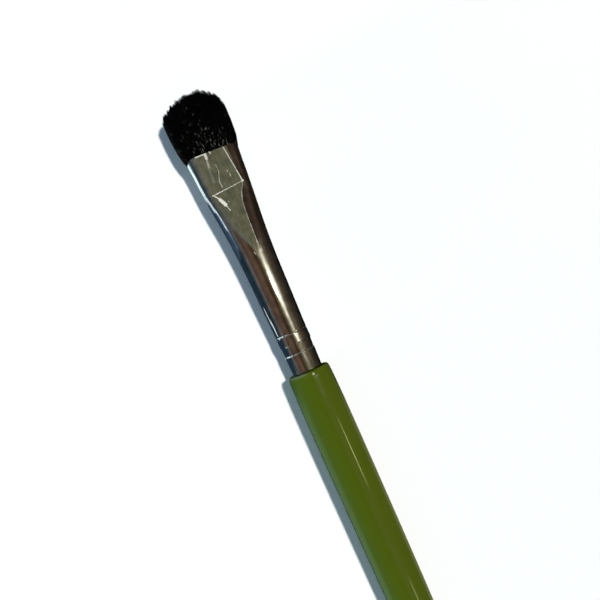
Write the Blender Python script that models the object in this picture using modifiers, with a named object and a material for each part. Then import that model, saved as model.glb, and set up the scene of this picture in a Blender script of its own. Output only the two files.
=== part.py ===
"""A flat-pressed blending brush, lying down with its two pressed faces level.

The brush's axis runs along X, from the tip of the tuft to the tail of the handle, and the pressed
faces of the ferrule look up and down. A depth is a distance along the axis, measured from the mouth
of the ferrule towards the handle, so the fibres outside the mouth have negative depths.
All lengths are in metres.
"""

import math
import random

import bmesh
import bpy

# Tuft: the fibres outside the mouth, and the slice of bonded root that they grow from
TUFT_WIDTH = 0.0118
TUFT_THICKNESS = 0.0057
TUFT_LENGTH = 0.0114
BELLY_HEIGHT = 0.0066
FLARE_HEIGHT = 0.0015
FLARE_WIDTH = 0.0109
FLARE_THICKNESS = 0.0047
FIBRE_PITCH = 0.0003
FIBRE_THICKNESS = 0.00021
FIBRE_ROOT_SINK = 0.0002
TIP_SCATTER = 0.0002
ROOT_SETBACK = 0.0002
ROOT_SLICE = 0.0040
TIP_DRAW_SHARE = 0.10
DOME_LEAN_SHARE = 0.06
BEND_SHARE = 0.6
FIBRE_SWELL_SHARES = (1.0, 1.15, 1.35, 0.5)
SCATTER_SEED = 7
FIBRE_ROW_TURN = math.radians(11)

# Ferrule: a conical tube pressed flat at its mouth, with a rolled bead and groove near its other end
FERRULE_LENGTH = 0.04175
FERRULE_WALL = 0.00025
MOUTH_WIDTH = 0.0100
MOUTH_THICKNESS = 0.0044
PANEL_LENGTH = 0.0071
PANEL_WIDTH = 0.0060
PANEL_END_WIDTH = 0.00872
PRESS_LINE_WIDTH = 0.0003
PRESS_LINE_RISE = 0.00007
PRESS_LENGTH = 0.0212
BARREL_DIAMETER = 0.0065
SOCKET_DIAMETER = 0.0054
BEAD_WIDTH = 0.0019
BEAD_RISE = 0.00006
GROOVE_WIDTH = 0.0018
GROOVE_SINK = 0.00012
ROLL_SLOPE_WIDTH = 0.00015
SKIRT_LENGTH = 0.0034
SIDE_FADE_POWER = 1.3
FADE_SHARES = (0.12, 0.26, 0.44, 0.64, 0.82, 1.0)
FLAT_SHARES = (0.72, 0.52, 0.45, 0.33, 0.18, 0.0)
THICKNESS_SHARES = (0.20, 0.44, 0.74, 0.99, 1.04, 1.0)

# Resin and glue inside the ferrule
RESIN_END_DEPTH = 0.0140
GLUE_THICKNESS = 0.00018
GLUE_END_THICKNESS = 0.0010
GLUE_SETBACK = 0.0005

# Handle, turned from one piece of wood
HANDLE_LENGTH = 0.12175
SHOULDER_DIAMETER = 0.0077
SHOULDER_ROUNDING = 0.0003
BELLY_DIAMETER = 0.0080
SHOULDER_TO_BELLY = 0.0065
TAIL_DIAMETER = 0.0038
TAIL_ROUNDING = 0.0019
TENON_LENGTH = 0.0160
TENON_CHAMFER = 0.0004
TAPER_POWER = 2.1
SWELL_SHARES = (0.25, 0.5, 0.75, 1.0)
TAPER_SHARES = (0.12, 0.24, 0.36, 0.48, 0.58, 0.68, 0.78, 0.87, 0.94, 1.0)

# Clearances
FIT_GAP = 0.0001
MERGE_DISTANCE = 0.000001

# Facets
ROUND_SIDES = 48
HIDDEN_SIDES = 24
CORNER_STEPS = 4

HALF_STEP = math.pi / ROUND_SIDES
AXIS_HEIGHT = BELLY_DIAMETER / 2 * math.cos(HALF_STEP)
SHOULDER_DEPTH = FERRULE_LENGTH + FIT_GAP
WHOLE_LENGTH = TUFT_LENGTH + SHOULDER_DEPTH + HANDLE_LENGTH
MOUTH_X = TUFT_LENGTH - WHOLE_LENGTH / 2
BEAD_DEPTH = FERRULE_LENGTH - SKIRT_LENGTH - GROOVE_WIDTH - BEAD_WIDTH
GROOVE_DEPTH = BEAD_DEPTH + BEAD_WIDTH


def clear_scene():
    for thing in list(bpy.data.objects):
        bpy.data.objects.remove(thing, do_unlink=True)


def new_collection(name):
    group = bpy.data.collections.new(name)
    bpy.context.scene.collection.children.link(group)
    return group


def surface(name, colour, roughness, metallic=0.0, coat=0.0):
    """A plain Principled material."""
    material = bpy.data.materials.new(name)
    material.use_nodes = True
    shader = material.node_tree.nodes["Principled BSDF"]
    shader.inputs["Base Color"].default_value = (*colour, 1.0)
    shader.inputs["Roughness"].default_value = roughness
    shader.inputs["Metallic"].default_value = metallic
    shader.inputs["Coat Weight"].default_value = coat
    material.diffuse_color = (*colour, 1.0)
    return material


def black_fibre():
    return surface("black_fibre", (0.012, 0.012, 0.013), roughness=0.45)


def bright_plating():
    return surface("bright_plating", (0.72, 0.70, 0.66), roughness=0.12, metallic=1.0)


def amber_resin():
    return surface("amber_resin", (0.42, 0.27, 0.09), roughness=0.3)


def white_glue():
    return surface("white_glue", (0.75, 0.72, 0.62), roughness=0.5)


def green_lacquer():
    return surface("green_lacquer", (0.075, 0.115, 0.008), roughness=0.15, coat=1.0)


def placed(name, data, group, axis, depth=0.0):
    """An object on the brush's axis, with its origin at the given depth."""
    thing = bpy.data.objects.new(name, data)
    group.objects.link(thing)
    thing.parent = axis
    thing.location = (depth, 0.0, 0.0)
    return thing


def shaded(mesh, material):
    mesh.materials.append(material)
    mesh.shade_smooth()
    mesh.set_sharp_from_angle(angle=math.radians(35))
    return mesh


# Sections of the ferrule and of what fills it


def barrel_radius(depth):
    """Radius of the round cone that the ferrule is pressed from, beyond the pressed stretch."""
    share = (depth - PRESS_LENGTH) / (FERRULE_LENGTH - PRESS_LENGTH)
    return BARREL_DIAMETER / 2 + (SOCKET_DIAMETER - BARREL_DIAMETER) / 2 * share


def mixed(low, high, share):
    return low + (high - low) * share


def table_value(places, values, place):
    """The value at a place, read off straight lines between the table's points."""
    for (low, high), (first, last) in zip(zip(places, places[1:]), zip(values, values[1:])):
        if place <= high:
            return mixed(first, last, (place - low) / (high - low))
    return values[-1]


def outer_section(depth):
    """Half width, half thickness and half of the flat stretch of the ferrule's outside."""
    fade_start = PANEL_LENGTH + PRESS_LINE_WIDTH
    if depth >= PRESS_LENGTH:
        radius = barrel_radius(depth)
        return radius, radius, 0.0
    if depth <= PANEL_LENGTH:
        width = mixed(MOUTH_WIDTH, PANEL_END_WIDTH, depth / PANEL_LENGTH)
        return width / 2, MOUTH_THICKNESS / 2, PANEL_WIDTH / 2
    share = max(0.0, (depth - fade_start) / (PRESS_LENGTH - fade_start))
    widening = (1.0 - share) ** SIDE_FADE_POWER
    width = mixed(BARREL_DIAMETER, PANEL_END_WIDTH, widening)
    thickening = table_value((0.0, *FADE_SHARES), (0.0, *THICKNESS_SHARES), share)
    thickness = mixed(MOUTH_THICKNESS + 2 * PRESS_LINE_RISE, BARREL_DIAMETER, thickening)
    flat = PANEL_WIDTH * table_value((0.0, *FADE_SHARES), (1.0, *FLAT_SHARES), share)
    return width / 2, thickness / 2, flat / 2


def inner_section(depth, clearance):
    """The same for a piece that lies inside the ferrule, this far from its wall."""
    half_width, half_thickness, half_flat = outer_section(depth)
    inset = FERRULE_WALL + clearance
    return half_width - inset, half_thickness - inset, half_flat


def section_ring(mesh, depth, section, sides):
    """Vertices round one section: elliptic ends joined by a flat stretch above and below."""
    half_width, half_thickness, half_flat = section
    ring = []
    for step in range(sides):
        angle = (step + 0.5) * math.tau / sides
        across = (half_width - half_flat) * math.cos(angle)
        side = across + math.copysign(half_flat, across)
        ring.append(mesh.verts.new((depth, side, half_thickness * math.sin(angle))))
    return ring


def loft(name, stations, sides, closed):
    """A skin through sections along the axis, given as (depth, section) from the mouth on."""
    work = bmesh.new()
    rings = [section_ring(work, depth, section, sides) for depth, section in stations]
    for near, far in zip(rings, rings[1:]):
        for step in range(sides):
            following = (step + 1) % sides
            work.faces.new((near[step], near[following], far[following], far[step]))
    if closed:
        work.faces.new(rings[0][::-1])
        work.faces.new(rings[-1])
    mesh = bpy.data.meshes.new(name)
    work.to_mesh(mesh)
    work.free()
    return mesh


def grown(section, rise):
    half_width, half_thickness, half_flat = section
    return half_width + rise, half_thickness + rise, half_flat


# Ferrule


def fade_depths():
    fade_start = PANEL_LENGTH + PRESS_LINE_WIDTH
    return [mixed(fade_start, PRESS_LENGTH, share) for share in FADE_SHARES]


def rolled_stations():
    """(depth, rise) through the bead and the groove, up to the end of the ferrule."""
    groove_end = GROOVE_DEPTH + GROOVE_WIDTH
    return [
        (BEAD_DEPTH - ROLL_SLOPE_WIDTH, 0.0),
        (BEAD_DEPTH, BEAD_RISE),
        (GROOVE_DEPTH - ROLL_SLOPE_WIDTH, BEAD_RISE),
        (GROOVE_DEPTH + ROLL_SLOPE_WIDTH, -GROOVE_SINK),
        (groove_end - ROLL_SLOPE_WIDTH, -GROOVE_SINK),
        (groove_end, 0.0),
        (FERRULE_LENGTH, 0.0),
    ]


def make_ferrule(group, axis):
    pressed = [0.0, PANEL_LENGTH, PANEL_LENGTH + PRESS_LINE_WIDTH, *fade_depths()]
    stations = [(depth, outer_section(depth)) for depth in pressed]
    stations += [(depth, grown(outer_section(depth), rise)) for depth, rise in rolled_stations()]
    mesh = shaded(loft("ferrule", stations, ROUND_SIDES, closed=False), bright_plating())
    ferrule = placed("ferrule", mesh, group, axis)
    wall = ferrule.modifiers.new("wall", "SOLIDIFY")
    wall.thickness = FERRULE_WALL
    wall.offset = -1.0
    wall.use_even_offset = True
    return ferrule


# Tuft and the resin behind it


def thickness_at(side, section):
    """Half thickness of a section at a distance to the side, or zero outside it."""
    half_width, half_thickness, half_flat = section
    past_flat = max(0.0, abs(side) - half_flat) / (half_width - half_flat)
    return half_thickness * math.sqrt(max(0.0, 1.0 - past_flat**2))


def root_section(mouth_margin, flare_margin):
    """The section that the fibres' roots fill, so that each clears the edge of the mouth as it flares."""
    *mouth_halves, half_flat = inner_section(0.0, mouth_margin)
    flare_halves = (FLARE_WIDTH / 2 - flare_margin, FLARE_THICKNESS / 2 - flare_margin)
    run_back = (ROOT_SETBACK + FIBRE_ROOT_SINK) / FLARE_HEIGHT
    halves = [mouth - (flare - mouth) * run_back for mouth, flare in zip(mouth_halves, flare_halves)]
    return *halves, half_flat


def fibre_roots(section):
    """Staggered rows of (side, height), turned a little in the section that they fill."""
    row_gap = FIBRE_PITCH * math.sqrt(3.0) / 2.0
    reach = int(max(section) / row_gap) + 1
    roots = []
    for row in range(-reach, reach + 1):
        for column in range(-reach, reach + 1):
            along = (column + 0.5 * (row % 2)) * FIBRE_PITCH
            across = row * row_gap
            side = along * math.cos(FIBRE_ROW_TURN) - across * math.sin(FIBRE_ROW_TURN)
            height = along * math.sin(FIBRE_ROW_TURN) + across * math.cos(FIBRE_ROW_TURN)
            if abs(height) < thickness_at(side, section):
                roots.append((side, height))
    return roots


def spread(height, flare_half, belly_half):
    """Half size of the bundle at a height above the mouth: it swells to its belly, then draws in a little."""
    if height <= BELLY_HEIGHT:
        share = (height - FLARE_HEIGHT) / (BELLY_HEIGHT - FLARE_HEIGHT)
        return mixed(flare_half, belly_half, math.sin(share * math.pi / 2))
    share = (height - BELLY_HEIGHT) / (TUFT_LENGTH - BELLY_HEIGHT)
    return belly_half * (1.0 - TIP_DRAW_SHARE * share**2)


def fibre_path(side, height, section, reach, margins, scatter):
    """Four points of one fibre, from inside the bonded root to its tip on the dome."""
    half_width, half_thickness = reach
    side_share = side / half_width
    height_share = height / thickness_at(side, section)
    dome = math.sqrt(1.0 - side_share**2) * math.sqrt(1.0 - height_share**2)
    tip = BELLY_HEIGHT + (TUFT_LENGTH - BELLY_HEIGHT) * dome * (1.0 + DOME_LEAN_SHARE * side_share)
    tip -= scatter
    flare_margin, belly_margin = margins
    points = [(ROOT_SETBACK + FIBRE_ROOT_SINK, side, height)]
    for above in (FLARE_HEIGHT, mixed(FLARE_HEIGHT, tip, BEND_SHARE), tip):
        wide = spread(above, FLARE_WIDTH / 2 - flare_margin, TUFT_WIDTH / 2 - belly_margin)
        thick = spread(above, FLARE_THICKNESS / 2 - flare_margin, TUFT_THICKNESS / 2 - belly_margin)
        points.append((-above, side * wide / half_width, height * thick / half_thickness))
    return points


def fibre_profile(group):
    """The triangular section of a fibre, as a guide for the curves."""
    curve = bpy.data.curves.new("fibre_section", "CURVE")
    outline = curve.splines.new("POLY")
    outline.points.add(2)
    for corner, point in enumerate(outline.points):
        angle = corner * math.tau / 3
        point.co = (FIBRE_THICKNESS / 2 * math.cos(angle), FIBRE_THICKNESS / 2 * math.sin(angle), 0, 1)
    outline.use_cyclic_u = True
    profile = bpy.data.objects.new("fibre_section", curve)
    group.objects.link(profile)
    hide(profile)
    return profile


def hide(thing):
    thing.hide_render = True
    thing.display_type = "WIRE"


def make_fibres(group, axis):
    """All fibres as one mesh of separate tapering strands."""
    _, flare_margin, belly_margin, _ = [FIBRE_THICKNESS / 2 * share for share in FIBRE_SWELL_SHARES]
    section = root_section(FIT_GAP + flare_margin, flare_margin)
    scatter = random.Random(SCATTER_SEED)
    curve = bpy.data.curves.new("fibres", "CURVE")
    curve.dimensions = "3D"
    curve.bevel_mode = "OBJECT"
    curve.bevel_object = fibre_profile(group)
    curve.use_fill_caps = True
    roots = fibre_roots(section)
    reach = [max(abs(root[way]) for root in roots) for way in (0, 1)]
    for side, height in roots:
        spline = curve.splines.new("POLY")
        spline.points.add(3)
        margins = (flare_margin, belly_margin)
        path = fibre_path(side, height, section, reach, margins, scatter.uniform(0.0, TIP_SCATTER))
        for point, place, swell in zip(spline.points, path, FIBRE_SWELL_SHARES):
            point.co = (*place, 1.0)
            point.radius = swell
    strands = placed("fibre_curves", curve, group, axis)
    bpy.context.view_layer.update()
    evaluated = strands.evaluated_get(bpy.context.evaluated_depsgraph_get())
    mesh = bpy.data.meshes.new_from_object(evaluated)
    print(len(roots), "fibres")
    bpy.data.objects.remove(strands)
    work = bmesh.new()
    work.from_mesh(mesh)
    bmesh.ops.remove_doubles(work, verts=work.verts, dist=MERGE_DISTANCE)
    bmesh.ops.recalc_face_normals(work, faces=work.faces)
    work.to_mesh(mesh)
    work.free()
    fibres = placed("fibres", mesh, group, axis)
    hide(fibres)
    return fibres


def make_tuft(group, cutters, axis):
    depths = (ROOT_SETBACK, ROOT_SETBACK + ROOT_SLICE)
    stations = [(depth, inner_section(depth, FIT_GAP)) for depth in depths]
    mesh = shaded(loft("bristle_tuft", stations, HIDDEN_SIDES, closed=True), black_fibre())
    tuft = placed("bristle_tuft", mesh, group, axis)
    growth = tuft.modifiers.new("fibres", "BOOLEAN")
    growth.operation = "UNION"
    growth.solver = "EXACT"
    growth.object = make_fibres(cutters, axis)
    return tuft


def make_resin_plug(group, axis):
    start = ROOT_SETBACK + ROOT_SLICE + FIT_GAP
    turns = [PANEL_LENGTH, PANEL_LENGTH + PRESS_LINE_WIDTH, *fade_depths()]
    depths = [start, *(depth for depth in turns if start < depth < RESIN_END_DEPTH), RESIN_END_DEPTH]
    stations = [(depth, inner_section(depth, FIT_GAP)) for depth in depths]
    mesh = shaded(loft("root_resin_plug", stations, HIDDEN_SIDES, closed=True), amber_resin())
    return placed("root_resin_plug", mesh, group, axis)


# Turned pieces


def turned(name, outline, material, group, axis):
    """A solid of revolution: (radius, distance ahead of the shoulder), from its front to its back."""
    mesh = bpy.data.meshes.new(name)
    points = [
        (radius * math.cos(HALF_STEP), radius * math.sin(HALF_STEP), ahead) for radius, ahead in outline
    ]
    mesh.from_pydata(points, [(at, at + 1) for at in range(len(points) - 1)], [])
    mesh.materials.append(material)
    piece = placed(name, mesh, group, axis, SHOULDER_DEPTH)
    piece.rotation_euler = (0.0, -math.pi / 2, 0.0)
    screw = piece.modifiers.new("turning", "SCREW")
    screw.axis = "Z"
    screw.angle = math.tau
    screw.steps = ROUND_SIDES
    screw.render_steps = ROUND_SIDES
    screw.use_merge_vertices = True
    screw.merge_threshold = MERGE_DISTANCE
    screw.use_smooth_shade = True
    return piece


def narrowest_bore():
    """Inner radius of the tightest place between the groove and the handle end of the ferrule."""
    groove = barrel_radius(GROOVE_DEPTH + GROOVE_WIDTH) - GROOVE_SINK
    return min(groove, SOCKET_DIAMETER / 2) - FERRULE_WALL


def tenon_radius():
    return narrowest_bore() - FIT_GAP - GLUE_THICKNESS - FIT_GAP


def glue_outline():
    """A cup of set glue: it lines the bore round the tenon and closes over the tenon's end."""
    inside = tenon_radius() + FIT_GAP
    floor = TENON_LENGTH + FIT_GAP
    front = floor + GLUE_END_THICKNESS
    widest = barrel_radius(SHOULDER_DEPTH - front) - FERRULE_WALL - FIT_GAP
    narrow = narrowest_bore() - FIT_GAP
    return [
        (0.0, front),
        (widest, front),
        (narrow, SHOULDER_DEPTH - BEAD_DEPTH),
        (narrow, GLUE_SETBACK),
        (inside, GLUE_SETBACK),
        (inside, floor),
        (0.0, floor),
    ]


def rounded_corner(centre_radius, centre_ahead, rounding_radius, rounding_ahead, start):
    """Points of a quarter ellipse, from the angle start on, turning towards the tail."""
    for step in range(CORNER_STEPS + 1):
        angle = start - step / CORNER_STEPS * math.pi / 2
        radius = centre_radius + rounding_radius * math.cos(angle)
        yield radius, centre_ahead + rounding_ahead * math.sin(angle)


def handle_outline():
    """Tenon, shoulder, belly, long taper and rounded tail."""
    tenon = tenon_radius()
    shoulder = SHOULDER_DIAMETER / 2
    belly = BELLY_DIAMETER / 2
    tail = TAIL_DIAMETER / 2
    points = [(0.0, TENON_LENGTH), (tenon - TENON_CHAMFER, TENON_LENGTH)]
    points += [(tenon, TENON_LENGTH - TENON_CHAMFER), (tenon, 0.0)]
    edge = shoulder - SHOULDER_ROUNDING
    points += rounded_corner(edge, -SHOULDER_ROUNDING, SHOULDER_ROUNDING, SHOULDER_ROUNDING, math.pi / 2)
    for share in SWELL_SHARES:
        radius = mixed(shoulder, belly, math.sin(share * math.pi / 2))
        points.append((radius, -mixed(SHOULDER_ROUNDING, SHOULDER_TO_BELLY, share)))
    tail_start = HANDLE_LENGTH - TAIL_ROUNDING
    for share in TAPER_SHARES:
        radius = mixed(belly, tail, share**TAPER_POWER)
        points.append((radius, -mixed(SHOULDER_TO_BELLY, tail_start, share)))
    end = list(rounded_corner(0.0, -tail_start, tail, TAIL_ROUNDING, 0.0))
    return points + end[1:-1] + [(0.0, -HANDLE_LENGTH)]


def main():
    clear_scene()
    group = new_collection("blending_brush")
    cutters = new_collection("guides")
    axis = bpy.data.objects.new("brush_axis", None)
    group.objects.link(axis)
    axis.location = (MOUTH_X, 0.0, AXIS_HEIGHT)
    make_ferrule(group, axis)
    make_tuft(group, cutters, axis)
    make_resin_plug(group, axis)
    turned("tenon_glue_cup", glue_outline(), white_glue(), group, axis)
    turned("handle", handle_outline(), green_lacquer(), group, axis)


main()
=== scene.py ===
"""The looks of a flat-pressed blending brush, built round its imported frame.

The brush lies along X, with its tuft towards -X and its pressed faces looking up and down.
A depth is a distance along the axis from the ferrule's mouth towards the handle. A height is the same
distance the other way, out of the mouth and into the tuft. Angles called roll go round the brush's axis.
"""

import math

import bmesh
import bpy
from mathutils import Matrix, Vector


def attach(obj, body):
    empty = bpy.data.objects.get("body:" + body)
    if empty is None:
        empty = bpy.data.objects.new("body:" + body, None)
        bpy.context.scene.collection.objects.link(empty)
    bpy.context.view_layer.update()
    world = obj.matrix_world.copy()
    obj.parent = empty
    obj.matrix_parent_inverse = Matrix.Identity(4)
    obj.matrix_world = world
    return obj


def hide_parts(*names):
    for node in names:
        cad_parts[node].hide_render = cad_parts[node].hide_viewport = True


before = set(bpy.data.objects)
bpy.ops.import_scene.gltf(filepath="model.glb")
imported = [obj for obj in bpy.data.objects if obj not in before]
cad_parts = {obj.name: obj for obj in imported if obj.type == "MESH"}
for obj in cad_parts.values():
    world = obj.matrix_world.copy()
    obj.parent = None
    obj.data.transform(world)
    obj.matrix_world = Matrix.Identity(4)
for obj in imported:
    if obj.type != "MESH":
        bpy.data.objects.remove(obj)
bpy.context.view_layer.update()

MM = 0.001
MERGE_DISTANCE = 0.0005 * MM

# The brush's own lengths, as in its frame
TUFT_LENGTH = 11.4 * MM
FERRULE_LENGTH = 41.75 * MM
FERRULE_WALL = 0.25 * MM
HANDLE_LENGTH = 121.75 * MM
FIT_GAP = 0.1 * MM
AXIS_HEIGHT = 3.99143 * MM
SHOULDER_DEPTH = FERRULE_LENGTH + FIT_GAP
WHOLE_LENGTH = TUFT_LENGTH + SHOULDER_DEPTH + HANDLE_LENGTH
MOUTH_X = TUFT_LENGTH - WHOLE_LENGTH / 2
SHOULDER_X = MOUTH_X + SHOULDER_DEPTH

# Ferrule
MOUTH_THICKNESS = 4.4 * MM
PANEL_LENGTH = 7.1 * MM
PANEL_WIDTH = 6.0 * MM
PRESS_LINE_WIDTH = 0.3 * MM
PRESS_LINE_RISE = 0.07 * MM
PRESS_BURR = 0.022 * MM
CROSS_BURR_OFFSET = 0.1 * MM
CROSS_BURR_WIDTH = 0.11 * MM
CROSS_BURR_FADE = 0.25 * MM
EDGE_BURR_WIDTH = 0.12 * MM
EDGE_BURR_FADE = 0.3 * MM
EDGE_BURR_SHARE = 0.8
BURR_FACING_POWER = 8
JAW_SKEW = 0.10
SKEW_REACH = 3.0 * MM
SKEW_START = 2.0 * MM
PRESS_LENGTH = 21.2 * MM
RAMP_END = 13.6 * MM
RAMP_SLOPE = 0.12
CREST_DEPTH = 19.6 * MM
BARREL_DIAMETER = 6.5 * MM
SOCKET_DIAMETER = 5.4 * MM
RIM_ROUNDING = 0.10 * MM
BEAD_START = 34.65 * MM
BEAD_END = 36.55 * MM
BEAD_RISE = 0.08 * MM
NOTCH_SINK = 0.03 * MM
NOTCH_WIDTH = 0.13 * MM
GROOVE_END = 38.35 * MM
GROOVE_SINK = 0.075 * MM
GROOVE_SHARES = (0.6, 1.15)
ROLLED_SLOPE = 0.14 * MM
FERRULE_SIDES = 224
QUARTER_STEPS = 64
BORE_STEPS = 24
SHORTEST_STEP = 1e-12
STATION_SLACK = 0.01 * MM
FERRULE_STEP = 0.24 * MM
FINE_STEP = 0.045 * MM

# Tuft
ROOT_DEPTH = 1.3 * MM
ROOT_CLEARANCE = 0.06 * MM
ROOT_POINTS = 72
ROOTS_PER_SQUARE_METRE = 4.0e8
ROOT_BLOCK_DEPTHS = (0.9 * MM, 4.2 * MM)
ROOT_BLOCK_POINTS = 64
BELLY_HEIGHT = 6.6 * MM
FIBRE_GAP = 0.074 * MM
FIBRE_RADIUS = 0.052 * MM
TIP_SCATTER = 0.14 * MM
TIP_TEETH = 1.5 * MM
TEETH_SCALE = 3800.0
TEETH_OFFSET = 0.7 * MM
TEETH_THROUGH = 0.05
LOCK_SCALE = 1400.0
LOCK_SWAY = 0.5 * MM
OWN_SWAY = 0.10 * MM
SWAY_POWER = 1.6
DOME_SCALE = 1.003
DOME_POWER = 2.4
FIBRE_POINTS = 7
FIBRE_SIDES = 3
TUFT_SEED = 11
TONE_SEED = 21
STRAY_SEED = 22
SWAY_SEED = 23

# Handle, whose swell is (distance behind the shoulder, radius) in millimetres
SWELL = ((0.45, 3.80), (0.7, 3.834), (0.95, 3.866), (1.3, 3.89), (3.5, 3.947), (6.5, 3.99), (9.0, 4.0))
SHOULDER_ROUNDING, SHOULDER_RADIUS = (length * MM for length in SWELL[0])
SHOULDER_TO_BELLY, BELLY_RADIUS = (length * MM for length in SWELL[-1])
TAIL_RADIUS = 1.9 * MM
TAIL_ROUNDING = 1.9 * MM
TENON_RADIUS = 1.95 * MM
TENON_LENGTH = 16.0 * MM
TENON_CHAMFER = 0.4 * MM
TENON_CORNER = 0.02 * MM
SWELL_POWER = 1.5
TAPER_POWER = 2.1
HANDLE_SIDES = 144
SHOULDER_STEPS = 4
ROUNDING_STEPS = 10
SWELL_STEPS = 32
TAPER_STEPS = 72
TAIL_STEPS = 16
SHARP_ANGLE = math.radians(50)

# Camera: almost straight down on the lying brush, a little to one side of its pressed face
PICTURE_TURN = math.radians(24.0)
CAMERA_ROLL = math.radians(9.7)
CAMERA_DISTANCE = 118.0 * MM
PICTURE_PIXEL = 0.1768 * MM
PICTURE_SIDE = 600
SENSOR_WIDTH = 36.0
CLIP_START = 0.005
CLIP_END = 20.0
AIM_DEPTH = 29.95 * MM
AIM_SIDE = 3.78 * MM

# Stage, with the cards' usual depth and distance in millimetres
FLOOR_REACH = 4.0
FLOOR_GAP = 0.01 * MM
FLOOR_GLOW = 0.07
COOL_FILL = (0.30, 0.64, 1.0)
FILL_STRENGTH = 0.155
WARM = (1.0, 0.96, 0.84)
ROOM_REACH = 700.0 * MM
ROOM_HALF_LENGTH = 1.5
ROOM_FLOOR_GAP = 0.05 * MM
ROOM_SIDES = 48
ROOM_MIDDLE_DEPTH = 20.0 * MM
ROOM_ENDS_MEET = (-0.15, -0.05)
CARD_FLOOR_GAP = 0.08 * MM
CARD_RIM = (0.4, 0.5)
CARD_DEPTH = 20.0
CARD_DISTANCE = 400.0


def mixed(low, high, share):
    return low + (high - low) * share


def clamped(share):
    return min(1.0, max(0.0, share))


def eased(share):
    """A share from 0 to 1 with soft ends."""
    share = clamped(share)
    return share * share * (3.0 - 2.0 * share)


def bell(offset, width):
    """1 in the middle of a mark, falling away softly to both sides."""
    return math.exp(-((offset / width) ** 2))


def shares(count):
    """Even steps from just past 0 up to 1."""
    return [step / count for step in range(1, count + 1)]


def curved(first, last, first_slope, last_slope, start, end, place):
    """The value at a place on the smooth curve that leaves the start and meets the end at two slopes."""
    span = end - start
    share = (place - start) / span
    leaving = (1 + 2 * share) * first + share * span * first_slope
    meeting = (3 - 2 * share) * last + (share - 1) * span * last_slope
    return (1 - share) ** 2 * leaving + share**2 * meeting


def read_off(table, place):
    """The value at a place on a smooth line through a table of (place, value)."""
    if place <= table[0][0]:
        return table[0][1]
    for at in range(len(table) - 1):
        (low, first), (high, last) = table[at], table[at + 1]
        if place <= high:
            before = table[at - 1] if at else table[at]
            after = table[at + 2] if at + 2 < len(table) else table[at + 1]
            slope_in = (last - before[1]) / (high - before[0])
            slope_out = (after[1] - first) / (after[0] - low)
            return curved(first, last, slope_in, slope_out, low, high, place)
    return table[-1][1]


def brush_point(depth, side, up):
    """A place in the frame from a depth along the brush and an offset from its axis."""
    return Vector((MOUTH_X + depth, side, AXIS_HEIGHT + up))


def rolled_direction(roll, lean):
    """Unit direction, in degrees of roll right of the camera's zenith and of lean towards the tail."""
    turn = math.radians(roll) - CAMERA_ROLL
    lean = math.radians(lean)
    return Vector((math.sin(lean), math.sin(turn) * math.cos(lean), math.cos(turn) * math.cos(lean)))


def new_object(name, data):
    thing = bpy.data.objects.new(name, data)
    bpy.context.scene.collection.objects.link(thing)
    return thing


def mesh_from(name, build):
    """A mesh from a function that fills a bmesh."""
    work = bmesh.new()
    build(work)
    bmesh.ops.remove_doubles(work, verts=work.verts, dist=MERGE_DISTANCE)
    bmesh.ops.recalc_face_normals(work, faces=work.faces)
    mesh = bpy.data.meshes.new(name)
    work.to_mesh(mesh)
    work.free()
    mesh.shade_smooth()
    return mesh


def skin(work, rings, closed_start=False, closed_end=False):
    """Faces between rings of equal length, with flat ends where asked for. Gives back their corners."""
    loops = [[work.verts.new(point) for point in ring] for ring in rings]
    for near, far in zip(loops, loops[1:]):
        for at in range(len(near)):
            following = (at + 1) % len(near)
            work.faces.new((near[at], near[following], far[following], far[at]))
    if closed_start:
        work.faces.new(loops[0][::-1])
    if closed_end:
        work.faces.new(loops[-1])
    return loops


# Node helpers


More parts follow.
